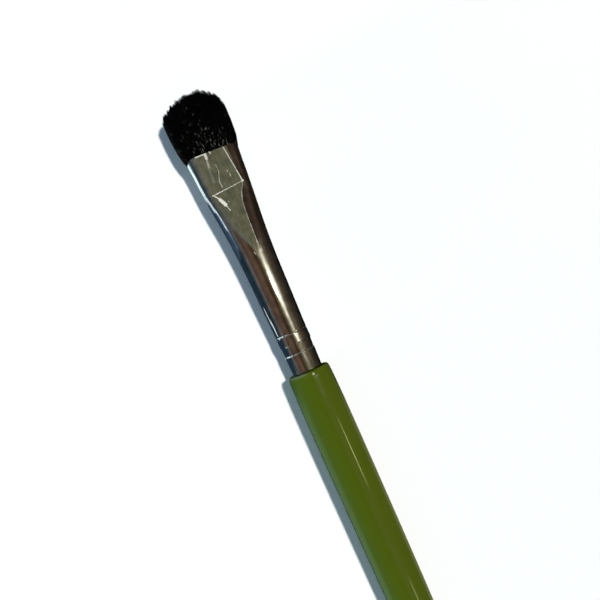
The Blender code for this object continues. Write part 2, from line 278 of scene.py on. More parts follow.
class Wiring:
    """Adds nodes to a tree and joins them up."""

    def __init__(self, tree):
        self.tree = tree
        self.column = 0

    def node(self, kind, **settings):
        node = self.tree.nodes.new(kind)
        node.location = (180 * (self.column % 40), -220 * (self.column // 40))
        self.column += 1
        for name, value in settings.items():
            setattr(node, name, value)
        return node

    def feed(self, node, inputs):
        """Links inputs to other outputs, or sets them to plain values and opaque colours."""
        for name, source in inputs.items():
            socket = node.inputs[name]
            if isinstance(source, bpy.types.NodeSocket):
                self.tree.links.new(source, socket)
            elif socket.type == "RGBA":
                socket.default_value = (*source, 1.0)
            else:
                socket.default_value = source

    def fed(self, kind, inputs, output=0, **settings):
        """One output of a new node that has these inputs."""
        node = self.node(kind, **settings)
        self.feed(node, inputs)
        return node.outputs[output]

    def maths(self, operation, *sources, clamp=False):
        return self.fed("ShaderNodeMath", dict(enumerate(sources)), operation=operation, use_clamp=clamp)

    def between(self, value, low, high, to_low=0.0, to_high=1.0, ease="LINEAR"):
        inputs = {"Value": value, "From Min": low, "From Max": high, "To Min": to_low, "To Max": to_high}
        return self.fed("ShaderNodeMapRange", inputs, interpolation_type=ease)

    def vector_maths(self, operation, *sources, scale=None):
        inputs = dict(enumerate(sources))
        if scale is not None:
            inputs["Scale"] = scale
        output = "Value" if operation in ("DOT_PRODUCT", "DISTANCE", "LENGTH") else "Vector"
        return self.fed("ShaderNodeVectorMath", inputs, output, operation=operation)

    def split(self, vector):
        node = self.node("ShaderNodeSeparateXYZ")
        self.feed(node, {0: vector})
        return node.outputs

    def joined(self, x, y, z):
        return self.fed("ShaderNodeCombineXYZ", {0: x, 1: y, 2: z})

    def blended(self, share, first, second):
        """A mix of two colours, at the Mix node's sockets for colours."""
        return self.fed("ShaderNodeMix", {0: share, 6: first, 7: second}, 2, data_type="RGBA")

    def noise(self, place, scale, detail=2.0, output=0):
        return self.fed("ShaderNodeTexNoise", {"Vector": place, "Scale": scale, "Detail": detail}, output)

    def streaks(self, place, squeeze, scale, detail=2.0):
        """Noise drawn out along the brush, by squeezing its coordinates there."""
        squeezed = self.fed("ShaderNodeMapping", {"Vector": place, "Scale": (squeeze, 1.0, 1.0)})
        return self.noise(squeezed, scale, detail)

    def ramp(self, share, stops):
        node = self.node("ShaderNodeValToRGB")
        band = node.color_ramp
        band.interpolation = "EASE"
        band.elements[0].position, band.elements[0].color = stops[0][0], (*stops[0][1], 1.0)
        band.elements[1].position, band.elements[1].color = stops[-1][0], (*stops[-1][1], 1.0)
        for position, colour in stops[1:-1]:
            band.elements.new(position).color = (*colour, 1.0)
        self.feed(node, {0: share})
        return node.outputs[0]

    def bumped(self, height, strength, distance, under=None):
        inputs = {"Height": height, "Strength": strength, "Distance": distance}
        if under:
            inputs["Normal"] = under
        return self.fed("ShaderNodeBump", inputs)

    def seen_as_backdrop(self):
        """1 where the camera, a mirror or glass looks, and 0 for the light that falls on things."""
        path = self.node("ShaderNodeLightPath").outputs
        seen = self.maths("MAXIMUM", path["Is Camera Ray"], path["Is Glossy Ray"])
        return self.maths("MAXIMUM", seen, path["Is Transmission Ray"])

    def surface(self, source):
        self.feed(self.tree.nodes["Material Output"], {"Surface": source})


def finish_named(name):
    """A new material with one Principled shader, the wiring to feed it and its Object coordinates."""
    material = bpy.data.materials.new(name)
    material.use_nodes = True
    wiring = Wiring(material.node_tree)
    shader = material.node_tree.nodes["Principled BSDF"]
    place = wiring.node("ShaderNodeTexCoord").outputs["Object"]
    return material, wiring, shader, place


def glow_named(name):
    """The same with one Emission shader, not yet joined to the material's surface."""
    material, wiring, shader, place = finish_named(name)
    wiring.tree.nodes.remove(shader)
    return material, wiring, wiring.node("ShaderNodeEmission"), place


# Finishes

WHITE = (1.0, 1.0, 1.0)
DULL_NICKEL = (0.50, 0.52, 0.47)
BRIGHT_NICKEL = (0.88, 0.85, 0.79)
WORN_AND_HIGHLIT_NICKEL = (0.92, 0.89, 0.76)
DEEP_GREEN = (0.0615, 0.088, 0.002)
PALE_GREEN = (0.0690, 0.0975, 0.003)
THIN_EDGE_HIGHLIGHT_GREEN = (0.34, 0.38, 0.24)
BLACKEST_FIBRE = (0.0004, 0.0004, 0.0005)
GREYEST_FIBRE = (0.002, 0.002, 0.002)
PAINTED_FIBRE_GLINT = (0.25, 0.245, 0.23)
DARK_RESIN = (0.36, 0.22, 0.06)
PALE_RESIN = (0.50, 0.34, 0.13)
DARK_GLUE = (0.68, 0.64, 0.52)
PALE_GLUE = (0.80, 0.78, 0.68)

# Streaks along the brush: how far they are squeezed, and how fine they are
TARNISH_STREAKS = (0.22, 3600.0)
RING_HIGHLIGHT_STREAKS = (0.3, 1300.0)
HAIRLINES = (0.08, 9000.0)
PRESS_WAVES = (0.55, 650.0)
SCRATCHES = (0.15, 5200.0)
LACQUER_CLOUDS = (0.3, 300.0)
GLINT_STREAKS = (0.3, 4400.0)

# Where the lacquer is painted paler at the shoulder's left edge, partly as thin lacquer and partly as painted
# light on a shaded face, and where the tuft's painted glints go
PALE_EDGE_DEPTHS = (0.15 * MM, 0.5 * MM)
PALE_EDGE_SIDES = (-1.6 * MM, -0.4 * MM)
GLINT_HEIGHTS = (6.5 * MM, 0.5 * MM)
GLINT_LIMITS = (0.69, 0.603)
GLINT_MIDDLE = -0.3 * MM
GLINT_HALF_WIDTHS = (1.9 * MM, 4.2 * MM)

# Worn lines and flecks on the plating. Besides real scuffing from the jaws, they are drawn lighter, yellower
# and less metallic to stand in for the lamp's highlights along the press line, the creases and the mouth, so
# they are partly painted highlight.
WORN_AND_HIGHLIT_LINES = (
    # (depth, side) of the start and of the end, and the width, in millimetres, then the strength
    ((7.42, -3.05), (6.88, 2.85), 0.15, 0.85),
    ((7.42, -3.08), (7.40, -2.86), 0.26, 0.85),
    ((6.86, 2.66), (6.84, 2.90), 0.30, 1.0),
    ((0.10, 2.02), (4.20, 2.50), 0.18, 0.62),
    ((4.20, 2.50), (6.80, 2.76), 0.21, 0.85),
    ((7.55, -2.85), (8.50, -2.20), 0.20, 0.95),
    ((8.50, -2.22), (9.70, -1.72), 0.72, 1.0),
    ((9.50, -1.78), (10.90, -1.35), 0.18, 0.80),
    ((7.10, 2.70), (8.60, 1.80), 0.12, 0.35),
    ((8.60, 1.80), (10.2, 1.22), 0.16, 0.45),
    ((10.2, 1.22), (13.5, 0.86), 0.13, 0.35),
    ((13.5, 0.86), (18.5, 0.55), 0.13, 0.45),
    ((0.10, -3.10), (0.10, -1.50), 0.34, 0.80),
    ((0.10, -1.40), (0.95, -1.46), 0.60, 0.80),
    ((0.95, -1.46), (2.60, -1.65), 0.34, 0.34),
    ((2.60, -1.65), (5.20, -1.92), 0.55, 0.10),
    ((0.05, -0.55), (0.35, -0.50), 0.26, 0.80),
    ((2.50, -0.42), (3.80, -0.40), 0.15, 0.35),
    ((3.80, -0.40), (5.50, -1.00), 0.17, 0.42),
    ((5.50, -1.00), (6.60, -0.92), 0.20, 0.52),
    ((4.20, 1.02), (4.45, 1.00), 0.12, 0.65),
    ((4.85, 1.26), (5.35, 1.14), 0.14, 0.65),
    ((9.20, -1.02), (9.50, -0.98), 0.12, 0.60),
    ((19.3, -0.60), (19.8, -0.50), 0.14, 0.60),
)
LINE_WAVER = 0.22 * MM
LINE_SOFT_EDGE = (0.2, 0.62)
UPPER_FACE = (1.2 * MM, 1.6 * MM)

# Depth and width of the rings painted bright beside the bead and the groove, a painted highlight strongest on
# the left side, and where they show
RINGS_PAINTED_BRIGHT = ((BEAD_START - 0.06 * MM, 0.15 * MM), (GROOVE_END - 0.04 * MM, 0.18 * MM))
RING_HIGHLIGHT_SIDES = (-1.7 * MM, -0.9 * MM)
RING_HIGHLIGHT_PATCHES = (0.38, 0.54)


def worn_and_highlit_places(wiring, place):
    """A mask of the lines and flecks where the jaws and handling have dulled the plating and where highlights
    are painted lighter, with rings painted bright beside the bead and the groove.
    """
    x, side, up = wiring.split(place)
    depth = wiring.maths("SUBTRACT", x, MOUTH_X)
    waver = wiring.noise(place, 1500.0)
    flat = wiring.joined(depth, side, 0.0)
    worn_and_highlit = None
    for start, end, width, strength in WORN_AND_HIGHLIT_LINES:
        start, end = (Vector((*point, 0.0)) * MM for point in (start, end))
        run = end - start
        from_start = wiring.vector_maths("SUBTRACT", flat, start)
        along = wiring.vector_maths("DOT_PRODUCT", from_start, run / run.length_squared)
        nearest = wiring.vector_maths("SCALE", run, scale=wiring.maths("MULTIPLY", along, 1.0, clamp=True))
        gap = wiring.vector_maths("DISTANCE", from_start, nearest)
        gap = wiring.maths("MULTIPLY_ADD", wiring.maths("SUBTRACT", waver, 0.5), LINE_WAVER, gap)
        inner, outer = (share * width * MM for share in LINE_SOFT_EDGE)
        mark = wiring.between(gap, inner, outer, strength, 0.0, "SMOOTHSTEP")
        worn_and_highlit = wiring.maths("MAXIMUM", worn_and_highlit, mark) if worn_and_highlit else mark
    upper = wiring.between(up, *(AXIS_HEIGHT + height for height in UPPER_FACE))
    worn_and_highlit = wiring.maths("MULTIPLY", worn_and_highlit, upper)
    # Painted highlight: the rings are lighter on the left side only, broken into patches
    patchy = wiring.between(wiring.streaks(place, *RING_HIGHLIGHT_STREAKS), *RING_HIGHLIGHT_PATCHES)
    for ring, width in RINGS_PAINTED_BRIGHT:
        off_ring = wiring.maths("ABSOLUTE", wiring.maths("SUBTRACT", depth, ring))
        band = wiring.between(off_ring, 0.3 * width, width, 1.0, 0.0, "SMOOTHSTEP")
        highlit_side = wiring.between(side, *RING_HIGHLIGHT_SIDES, 1.0, 0.07)
        band = wiring.maths("MULTIPLY", band, wiring.maths("MULTIPLY", highlit_side, patchy))
        worn_and_highlit = wiring.maths("MAXIMUM", worn_and_highlit, band)
    return worn_and_highlit


def bright_plating():
    """Nickel over the pressed tube: bright, faintly wavy from the press, with scuffs, hairlines, and lines
    and rings painted lighter as highlights.
    """
    material, wiring, shader, place = finish_named("bright_plating")
    worn_and_highlit = worn_and_highlit_places(wiring, place)
    tarnish = wiring.streaks(place, *TARNISH_STREAKS)
    patches = wiring.maths("MULTIPLY_ADD", tarnish, 0.7, wiring.noise(place, 700.0, 3.0))
    patches = wiring.between(patches, 0.62, 1.08)
    colour = wiring.blended(patches, DULL_NICKEL, BRIGHT_NICKEL)
    polish = wiring.between(wiring.streaks(place, *HAIRLINES), 0.35, 0.8, 0.05, 0.12)
    wavy = wiring.bumped(wiring.streaks(place, *PRESS_WAVES, 1.0), 0.35, 0.02 * MM)
    scratched = wiring.bumped(wiring.streaks(place, *SCRATCHES, 1.0), 0.08, 0.01 * MM, wavy)
    # Where worn or painted as a highlight, the plating is lighter, less metallic and rougher
    wiring.feed(shader, {
        "Base Color": wiring.blended(worn_and_highlit, colour, WORN_AND_HIGHLIT_NICKEL),
        "Metallic": wiring.between(worn_and_highlit, 0.0, 1.0, 1.0, 0.15),
        "Roughness": wiring.maths("MULTIPLY_ADD", worn_and_highlit, 0.4, polish),
        "Normal": scratched,
    })
    return material


def green_lacquer():
    """Olive green paint under a clear gloss coat, painted paler at the shoulder's left edge as thin lacquer
    and as painted light.
    """
    material, wiring, shader, place = finish_named("green_lacquer")
    clouds = wiring.streaks(place, *LACQUER_CLOUDS, 3.0)
    paint = wiring.blended(clouds, DEEP_GREEN, PALE_GREEN)
    x, side, _ = wiring.split(place)
    # Painted light: the shoulder's rim is paler on its left side only, lifting an edge that would lie dark in
    # shade
    pale_edge_highlight = wiring.between(x, *(SHOULDER_X + depth for depth in PALE_EDGE_DEPTHS), 0.24, 0.0)
    pale_edge_highlight = wiring.maths("MULTIPLY", pale_edge_highlight, wiring.between(side, *PALE_EDGE_SIDES, 1.0, 0.0))
    orange_peel = wiring.noise(place, 1500.0, 1.0)
    wiring.feed(shader, {
        "Base Color": wiring.blended(pale_edge_highlight, paint, THIN_EDGE_HIGHLIGHT_GREEN),
        "Roughness": 0.5,
        "Specular IOR Level": 0.1,
        "Coat Weight": 1.0,
        "Coat Roughness": 0.06,
        "Coat Normal": wiring.bumped(orange_peel, 0.06, 0.02 * MM),
    })
    return material


def black_fibre():
    """Near-black synthetic fibre, a little different from one strand to the next, with a few glints painted
    into its colour.
    """
    material, wiring, shader, place = finish_named("black_fibre")
    tone = wiring.node("ShaderNodeAttribute", attribute_name="fibre_tone").outputs["Fac"]
    colour = wiring.blended(tone, BLACKEST_FIBRE, GREYEST_FIBRE)
    # Painted highlights: lighter specks in the base colour, near the rim and towards the middle
    painted_glints = wiring.streaks(place, *GLINT_STREAKS, 1.0)
    x, side, _ = wiring.split(place)
    near_rim = wiring.between(x, *(MOUTH_X - height for height in GLINT_HEIGHTS), *GLINT_LIMITS)
    painted_glints = wiring.maths("SUBTRACT", painted_glints, near_rim)
    painted_glints = wiring.maths("MULTIPLY", wiring.between(painted_glints, 0.0, 0.06), wiring.between(tone, 0.1, 0.7))
    off_middle = wiring.maths("ABSOLUTE", wiring.maths("SUBTRACT", side, GLINT_MIDDLE))
    painted_glints = wiring.maths("MULTIPLY", painted_glints, wiring.between(off_middle, *GLINT_HALF_WIDTHS, 1.0, 0.3))
    wiring.feed(shader, {
        "Base Color": wiring.blended(painted_glints, colour, PAINTED_FIBRE_GLINT),
        "Roughness": wiring.between(tone, 0.0, 1.0, 0.34, 0.55),
        "Specular IOR Level": 0.09,
    })
    return material


def cloudy_finish(name, scale, detail, dark, pale, smoothest, roughest):
    """Something that has set hard, with clouds in its colour and its gloss."""
    material, wiring, shader, place = finish_named(name)
    clouds = wiring.noise(place, scale, detail)
    wiring.feed(shader, {
        "Base Color": wiring.blended(clouds, dark, pale),
        "Roughness": wiring.between(clouds, 0.3, 0.7, smoothest, roughest),
    })
    return material, wiring, shader, clouds


def amber_resin():
    """The set resin behind the fibres' root."""
    return cloudy_finish("amber_resin", 700.0, 3.0, DARK_RESIN, PALE_RESIN, 0.2, 0.35)[0]


def white_glue():
    """The set glue round the tenon."""
    material, wiring, shader, clouds = cloudy_finish(
        "white_glue", 900.0, 4.0, DARK_GLUE, PALE_GLUE, 0.4, 0.6
    )
    wiring.feed(shader, {"Normal": wiring.bumped(clouds, 0.3, 0.03 * MM)})
    return material


# Ferrule, with tables of (depth, distance from the axis) in millimetres

PRESSED_HALF_WIDTH = (
    (0.0, 4.95), (2.4, 4.72), (5.0, 4.56), (7.1, 4.39), (9.4, 4.17), (13.0, 3.80), (16.5, 3.51), (19.0, 3.36),
    (21.2, 3.25)
)
JAW_EDGE = ((0.0, 2.02), (6.8, 2.76), (7.4, 2.6))
FLAT_TO_LEFT = (
    (0.0, 3.0), (7.4, 3.0), (8.5, 2.75), (10.2, 2.5), (11.6, 2.15), (15.3, 1.1), (18.2, 0.4), (20.6, 0.0)
)
FLAT_TO_RIGHT = (
    (0.0, 2.4), (6.8, 2.75), (7.4, 2.6), (8.5, 1.75), (10.0, 1.15), (13.0, 0.8), (16.0, 0.45), (19.6, 0.0)
)


def pressed_half_thickness(depth):
    """The panel's, then a steady ramp behind its press line, which eases over into the barrel."""
    start = PANEL_LENGTH + PRESS_LINE_WIDTH
    step = PRESS_LINE_RISE * eased((depth - PANEL_LENGTH) / PRESS_LINE_WIDTH)
    ramp_top = MOUTH_THICKNESS / 2 + PRESS_LINE_RISE + RAMP_SLOPE * (RAMP_END - start)
    taper = (SOCKET_DIAMETER - BARREL_DIAMETER) / (FERRULE_LENGTH - PRESS_LENGTH) / 2
    if depth <= RAMP_END:
        return MOUTH_THICKNESS / 2 + step + RAMP_SLOPE * max(0.0, depth - start)
    if depth < CREST_DEPTH:
        crest = BARREL_DIAMETER / 2 + taper * (CREST_DEPTH - PRESS_LENGTH)
        return curved(ramp_top, crest, RAMP_SLOPE, taper, RAMP_END, CREST_DEPTH, depth)
    return BARREL_DIAMETER / 2 + taper * (depth - PRESS_LENGTH)


def ferrule_section(depth):
    """Half width, half thickness, and how far the flat reaches to the left and to the right."""
    to_left = read_off(FLAT_TO_LEFT, depth / MM) * MM
    to_right = read_off(FLAT_TO_RIGHT, depth / MM) * MM
    half_thickness = pressed_half_thickness(depth)
    if depth >= PRESS_LENGTH:
        return half_thickness, half_thickness, 0.0, 0.0
    return read_off(PRESSED_HALF_WIDTH, depth / MM) * MM, half_thickness, to_left, to_right


def section_outline(section, count):
    """Evenly spaced (side, up) points round a section, with the way that each one faces."""
    half_width, half_thickness, to_left, to_right = section
    points = []
    for quarter in range(4):
        reach = to_right if quarter in (0, 3) else -to_left
        for step in range(QUARTER_STEPS):
            angle = (quarter + step / QUARTER_STEPS) * math.pi / 2
            side = reach + (half_width - abs(reach)) * math.cos(angle)
            points.append((side, half_thickness * math.sin(angle)))
        if quarter in (0, 2):
            points.append((reach, half_thickness * (1 - quarter)))
    points.append(points[0])
    lengths = [0.0]
    for (side, up), (next_side, next_up) in zip(points, points[1:]):
        lengths.append(lengths[-1] + math.hypot(next_side - side, next_up - up))
    outline, at = [], 0
    for step in range(count):
        target = lengths[-1] * step / count
        while lengths[at + 1] < target:
            at += 1
        share = (target - lengths[at]) / max(lengths[at + 1] - lengths[at], SHORTEST_STEP)
        side = mixed(points[at][0], points[at + 1][0], share)
        up = mixed(points[at][1], points[at + 1][1], share)
        flat = to_right if side > 0 else to_left
        past_flat = math.copysign(max(0.0, abs(side) - flat), side)
        facing = Vector((past_flat / (half_width - flat) ** 2, up / half_thickness**2)).normalized()
        outline.append((side, up, facing))
    return outline


def rolled_rise(depth):
    """Height above the plain cone of a notch, a bead that runs level and a groove that runs deeper."""
    notch = bell(depth - BEAD_START, NOTCH_WIDTH)
    up = clamped((depth - BEAD_START) / (BEAD_END - BEAD_START))
    over = eased((depth - BEAD_END + ROLLED_SLOPE) / (2 * ROLLED_SLOPE))
    out = eased((depth - GROOVE_END + ROLLED_SLOPE) / ROLLED_SLOPE)
    deeper = mixed(*GROOVE_SHARES, clamped((depth - BEAD_END) / (GROOVE_END - BEAD_END)))
    bead = BEAD_RISE * up * (1.0 - over) - NOTCH_SINK * notch
    return bead - GROOVE_SINK * deeper * over + GROOVE_SINK * GROOVE_SHARES[1] * out


def press_marks(depth, side, facing):
    """Height of the burrs that the jaws raised along two edges of the panel."""
    on_face = abs(facing.y) ** BURR_FACING_POWER
    cross = bell(depth - PANEL_LENGTH - CROSS_BURR_OFFSET, CROSS_BURR_WIDTH)
    cross *= eased((PANEL_WIDTH / 2 + CROSS_BURR_FADE - abs(side)) / CROSS_BURR_FADE)
    edge = bell(side - read_off(JAW_EDGE, depth / MM) * MM, EDGE_BURR_WIDTH)
    edge *= eased((PANEL_LENGTH + EDGE_BURR_FADE / 2 - depth) / EDGE_BURR_FADE)
    return PRESS_BURR * on_face * max(cross, EDGE_BURR_SHARE * edge)


def press_slant(depth, side):
    """How far towards the mouth the metal is drawn, since the jaws closed a little askew."""
    near = bell(depth - PANEL_LENGTH, SKEW_REACH)
    return JAW_SKEW * side * near * eased(depth / SKEW_START)


def ferrule_depths():
    """Stations along the ferrule, close together where it turns sharply."""
    sharp = [
        (0.0, 0.3 * MM), (PANEL_LENGTH - 0.35 * MM, PANEL_LENGTH + 0.7 * MM),
        (BEAD_START - 0.3 * MM, BEAD_START + 0.3 * MM), (BEAD_END - 0.25 * MM, BEAD_END + 0.25 * MM),
        (GROOVE_END - 0.3 * MM, GROOVE_END + 0.15 * MM), (FERRULE_LENGTH - 0.2 * MM, FERRULE_LENGTH),
    ]
    depths, depth = [], 0.0
    while depth < FERRULE_LENGTH - STATION_SLACK:
        depths.append(depth)
        fine = any(low - STATION_SLACK <= depth < high for low, high in sharp)
        following = depth + (FINE_STEP if fine else FERRULE_STEP)
        starts = [low for low, _ in sharp if depth < low < following]
        depth = starts[0] if starts else following
    return depths + [FERRULE_LENGTH]


def end_rounding(depth):
    """How far the outside draws in at the rolled-over edges of the two ends."""
    near = min(depth, FERRULE_LENGTH - depth)
    if near >= RIM_ROUNDING:
        return 0.0
    return RIM_ROUNDING - math.sqrt(RIM_ROUNDING**2 - (RIM_ROUNDING - near) ** 2)


def ferrule_ring(depth, inside=False):
    """Points round the tube's outside, or round its bore."""
    ring = []
    for side, up, facing in section_outline(ferrule_section(depth), FERRULE_SIDES):
        if inside:
            rise = min(0.0, rolled_rise(depth)) - FERRULE_WALL
        else:
            rise = rolled_rise(depth) + press_marks(depth, side, facing) - end_rounding(depth)
        drawn = depth - press_slant(depth, side)
        ring.append(brush_point(drawn, side + facing.x * rise, up + facing.y * rise))
    return ring


def ferrule_skin():
    """The plated tube with its wall, pressed panel, bead and groove."""

    def build(work):
        rings = [ferrule_ring(depth) for depth in ferrule_depths()]
        for step in range(BORE_STEPS + 1):
            rings.append(ferrule_ring(FERRULE_LENGTH - step * FERRULE_LENGTH / BORE_STEPS, inside=True))
        rings.append(rings[0])
        skin(work, rings)

    piece = new_object("ferrule_skin", mesh_from("ferrule_skin", build))
    piece.data.materials.append(bright_plating())
    return piece


# Tuft, with tables of (share of the way, share of the full value)

TIP_OUTLINE = (
    (0.0, 0.722), (0.04, 0.776), (0.12, 0.842), (0.22, 0.901), (0.34, 0.957), (0.5, 0.988), (0.65, 1.0),
    (0.76, 0.964), (0.87, 0.876), (0.95, 0.773), (1.0, 0.65)
)
SPREAD_OUT = ((0.0, 0.0), (0.03, 0.52), (0.08, 0.66), (0.22, 0.82), (0.42, 0.97), (0.60, 1.0), (1.0, 0.88))
THICKEN_OUT = ((0.0, 0.0), (0.04, 0.22), (0.14, 0.45), (0.32, 0.80), (0.55, 1.0), (1.0, 0.80))
FIBRE_TAPER = ((0.0, 1.0), (0.5, 1.05), (0.85, 0.85), (1.0, 0.3))
WIDEST_SHARE = 1.24
TUFT_DRIFT = 0.05 * MM
THICKEST_SHARE = 1.42


def bore_section(depth, clearance):
    """The section of what fits inside the ferrule with a clearance round it."""
    half_width, half_thickness, to_left, to_right = ferrule_section(depth)
    inset = FERRULE_WALL + clearance
    return half_width - inset, half_thickness - inset, to_left, to_right


def root_face():
    """The flat area inside the mouth that the fibres grow from."""

    def build(work):
        outline = section_outline(bore_section(0.0, ROOT_CLEARANCE), ROOT_POINTS)
        work.faces.new([work.verts.new(brush_point(ROOT_DEPTH, side, up)) for side, up, _ in outline])

    return mesh_from("fibre_roots", build)


def curve_through(wiring, value, points):
    """The value that a soft line through points has at another value."""
    node = wiring.node("ShaderNodeFloatCurve")
    line = node.mapping.curves[0]
    line.points[0].location = points[0]
    line.points[1].location = points[-1]
    for point in points[1:-1]:
        line.points.new(*point)
    node.mapping.use_clip = False
    node.mapping.update()
    wiring.feed(node, {"Value": value})
    return node.outputs[0]


TUFT_INPUTS = {
    "Fibre gap": FIBRE_GAP,
    "Fibre radius": FIBRE_RADIUS,
    "Tuft length": TUFT_LENGTH,
    "Belly height": BELLY_HEIGHT,
    "Tip scatter": TIP_SCATTER,
    "Tip teeth": TIP_TEETH,
}


def tuft_tree(material):
    """Fibres spread over a root face, flared over the ferrule's rim and cut to a leaning dome."""
    tree = bpy.data.node_groups.new("fibre_growth", "GeometryNodeTree")
    tree.interface.new_socket("Geometry", in_out="INPUT", socket_type="NodeSocketGeometry")
    tree.interface.new_socket("Geometry", in_out="OUTPUT", socket_type="NodeSocketGeometry")
    for name in TUFT_INPUTS:
        tree.interface.new_socket(name, in_out="INPUT", socket_type="NodeSocketFloat")
    tree.interface.new_socket("Seed", in_out="INPUT", socket_type="NodeSocketInt")
    wiring = Wiring(tree)
    given = wiring.node("NodeGroupInput").outputs
    half_width, half_thickness, _, _ = bore_section(0.0, ROOT_CLEARANCE)

    def chance(seed, kind="FLOAT"):
        if kind == "FLOAT":
            return wiring.fed("FunctionNodeRandomValue", {"Seed": seed}, 1, data_type=kind)
        inputs = {"Seed": seed, 0: (-1.0, -1.0, -1.0)}
        return wiring.fed("FunctionNodeRandomValue", inputs, data_type=kind)

    def remembered(points, name, kind, value):
        inputs = {"Geometry": points, "Name": name, "Value": value}
        return wiring.fed("GeometryNodeStoreNamedAttribute", inputs, data_type=kind)

    def recalled(name, kind):
        return wiring.fed("GeometryNodeInputNamedAttribute", {"Name": name}, data_type=kind)

    # Roots, each with its own tone and chances
    inputs = {
        "Mesh": given["Geometry"],
        "Distance Min": given["Fibre gap"],
        "Density Max": ROOTS_PER_SQUARE_METRE,
        "Seed": given["Seed"],
    }
    kept = wiring.fed("GeometryNodeDistributePointsOnFaces", inputs, "Points", distribute_method="POISSON")
    kept = remembered(kept, "root", "FLOAT_VECTOR", wiring.fed("GeometryNodeInputPosition", {}))
    kept = remembered(kept, "fibre_tone", "FLOAT", chance(TONE_SEED))
    kept = remembered(kept, "stray", "FLOAT", chance(STRAY_SEED))
    kept = remembered(kept, "sway", "FLOAT_VECTOR", chance(SWAY_SEED, "FLOAT_VECTOR"))

    # One straight strand on every root
    strand = wiring.fed("GeometryNodeCurvePrimitiveLine", {"End": (MM, 0.0, 0.0)})
    cut = wiring.fed("GeometryNodeResampleCurve", {"Curve": strand, "Count": FIBRE_POINTS})
    planted = wiring.fed("GeometryNodeInstanceOnPoints", {"Points": kept, "Instance": cut})
    strands = wiring.fed("GeometryNodeRealizeInstances", {"Geometry": planted})

    # Where each root stands in the bundle
    _, root_side, root_up = wiring.split(recalled("root", "FLOAT_VECTOR"))
    root_up = wiring.maths("SUBTRACT", root_up, AXIS_HEIGHT)
    side_share = wiring.maths("DIVIDE", root_side, half_width)
    up_share = wiring.maths("DIVIDE", root_up, half_thickness)
    stray = recalled("stray", "FLOAT")
    _, sway_y, sway_z = wiring.split(recalled("sway", "FLOAT_VECTOR"))
    along = wiring.node("GeometryNodeSplineParameter").outputs["Factor"]

    # Length of each fibre: the dome across the tuft, rounded off through its thickness
    across = wiring.maths("MULTIPLY_ADD", side_share, 0.5, 0.5)
    full = wiring.maths("MULTIPLY", given["Tuft length"], DOME_SCALE)
    dome = wiring.maths("MULTIPLY", curve_through(wiring, across, TIP_OUTLINE), full)
    above_belly = wiring.maths("SUBTRACT", dome, given["Belly height"])
    roundness = wiring.maths("POWER", wiring.maths("ABSOLUTE", up_share), DOME_POWER)
    roundness = wiring.maths("SQRT", wiring.maths("SUBTRACT", 1.0, roundness, clamp=True))
    tip = wiring.maths("MULTIPLY_ADD", above_belly, roundness, given["Belly height"])
    shorter = wiring.maths("MULTIPLY", wiring.maths("POWER", stray, 2.0), given["Tip scatter"])
    tip = wiring.maths("SUBTRACT", tip, shorter)
    through = wiring.maths("MULTIPLY", root_up, TEETH_THROUGH)
    teeth = wiring.noise(wiring.joined(TEETH_OFFSET, root_side, through), TEETH_SCALE, 1.0)
    tip = wiring.maths("MULTIPLY_ADD", wiring.maths("SUBTRACT", teeth, 0.5), given["Tip teeth"], tip)
    height = wiring.maths("MULTIPLY_ADD", along, wiring.maths("ADD", tip, ROOT_DEPTH), -ROOT_DEPTH)

    # Flare over the rim, with a little sway that gathers neighbours into locks
    share = wiring.maths("DIVIDE", height, given["Tuft length"], clamp=True)
    wide = curve_through(wiring, share, SPREAD_OUT)
    thick = curve_through(wiring, share, THICKEN_OUT)
    drift = wiring.maths("MULTIPLY", wide, TUFT_DRIFT)
    wide = wiring.maths("MULTIPLY_ADD", wide, WIDEST_SHARE - 1.0, 1.0)
    thick = wiring.maths("MULTIPLY_ADD", thick, THICKEST_SHARE - 1.0, 1.0)
    bend = wiring.maths("POWER", share, SWAY_POWER)
    locks = wiring.noise(recalled("root", "FLOAT_VECTOR"), LOCK_SCALE, 1.0, "Color")
    _, lock_y, lock_z = wiring.split(locks)

    def swayed(own, shared):
        shared = wiring.maths("MULTIPLY_ADD", shared, LOCK_SWAY, -LOCK_SWAY / 2)
        both = wiring.maths("MULTIPLY_ADD", own, OWN_SWAY, shared)
        return wiring.maths("MULTIPLY", both, bend)

    side = wiring.maths("MULTIPLY_ADD", root_side, wide, swayed(sway_y, lock_y))
    side = wiring.maths("SUBTRACT", side, drift)
    up = wiring.maths("MULTIPLY_ADD", root_up, thick, swayed(sway_z, lock_z))
    up = wiring.maths("ADD", up, AXIS_HEIGHT)
    down = wiring.maths("SUBTRACT", MOUTH_X, height)
    place = wiring.joined(down, side, up)
    shaped = wiring.fed("GeometryNodeSetPosition", {"Geometry": strands, "Position": place})

    # Round the strands out with a section that thins towards the tip
    radius = wiring.maths("MULTIPLY", curve_through(wiring, along, FIBRE_TAPER), given["Fibre radius"])
    section = wiring.fed("GeometryNodeCurvePrimitiveCircle", {"Resolution": FIBRE_SIDES, "Radius": 1.0})
    inputs = {"Curve": shaped, "Profile Curve": section, "Scale": radius, "Fill Caps": True}
    solid = wiring.fed("GeometryNodeCurveToMesh", inputs)
    smooth = wiring.fed("GeometryNodeSetShadeSmooth", {0: solid})
    real = wiring.fed("GeometryNodeRealizeInstances", {"Geometry": smooth})
    coloured = wiring.fed("GeometryNodeSetMaterial", {"Geometry": real, "Material": material})
    wiring.feed(wiring.node("NodeGroupOutput"), {0: coloured})
    return tree


